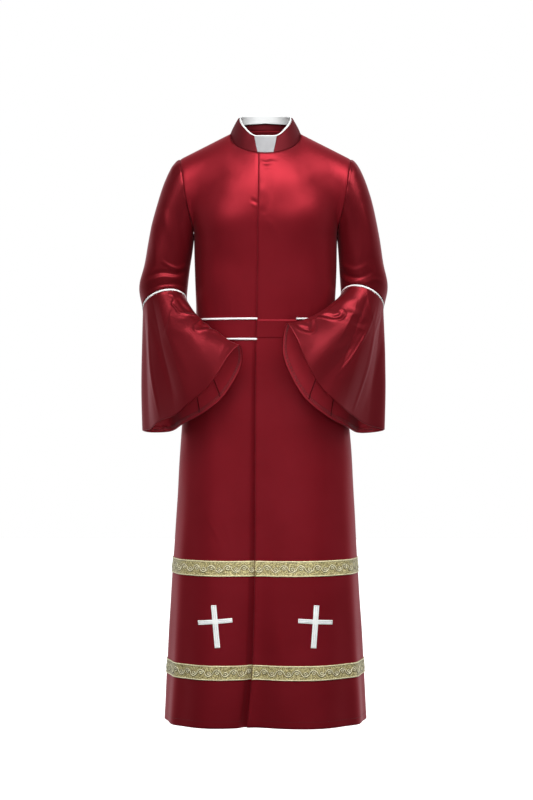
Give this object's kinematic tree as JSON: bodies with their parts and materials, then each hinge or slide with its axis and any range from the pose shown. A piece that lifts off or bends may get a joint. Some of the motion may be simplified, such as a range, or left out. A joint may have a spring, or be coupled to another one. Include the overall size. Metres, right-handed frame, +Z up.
{
  "type": "clergy robe",
  "caption": "Full-length satin clergy robe with a banded stand collar, concealed front closing, piped waist belt, trumpet sleeves, brocade bands and crosses.",
  "frame": {"origin": "centre of the base of the neck, where the wearer's shoulders hold the robe", "axes": "+Z up along the body, -Y to the front, +X to the wearer's left"},
  "size_m": [0.5957, 0.4053, 1.4524],
  "materials": {
    "burgundy_satin": "satin weave, soft sheen",
    "white_cloth": "plain weave, matte",
    "white_piping": "corded piping, matte",
    "gold_brocade": "metallic brocade with a raised scroll"
  },
  "bodies": {
    "root": {"back": "burgundy_satin", "front_left": "burgundy_satin", "front_right": "burgundy_satin", "sleeve_left": "burgundy_satin", "sleeve_right": "burgundy_satin", "bell_left": "burgundy_satin", "bell_right": "burgundy_satin", "collar": "burgundy_satin", "belt_front_left": "burgundy_satin", "belt_front_right": "burgundy_satin", "belt_back": "burgundy_satin", "collar_band": "white_cloth", "collar_tab": "white_cloth", "cross_left": "white_cloth", "cross_right": "white_cloth", "belt_piping_top_left": "white_piping", "belt_piping_top_right": "white_piping", "belt_piping_top_back": "white_piping", "belt_piping_bottom_left": "white_piping", "belt_piping_bottom_right": "white_piping", "belt_piping_bottom_back": "white_piping", "sleeve_piping_left": "white_piping", "sleeve_piping_right": "white_piping", "trim_upper_left": "gold_brocade", "trim_upper_right": "gold_brocade", "trim_upper_back": "gold_brocade", "trim_lower_left": "gold_brocade", "trim_lower_right": "gold_brocade", "trim_lower_back": "gold_brocade"}
  },
  "joints": []
}
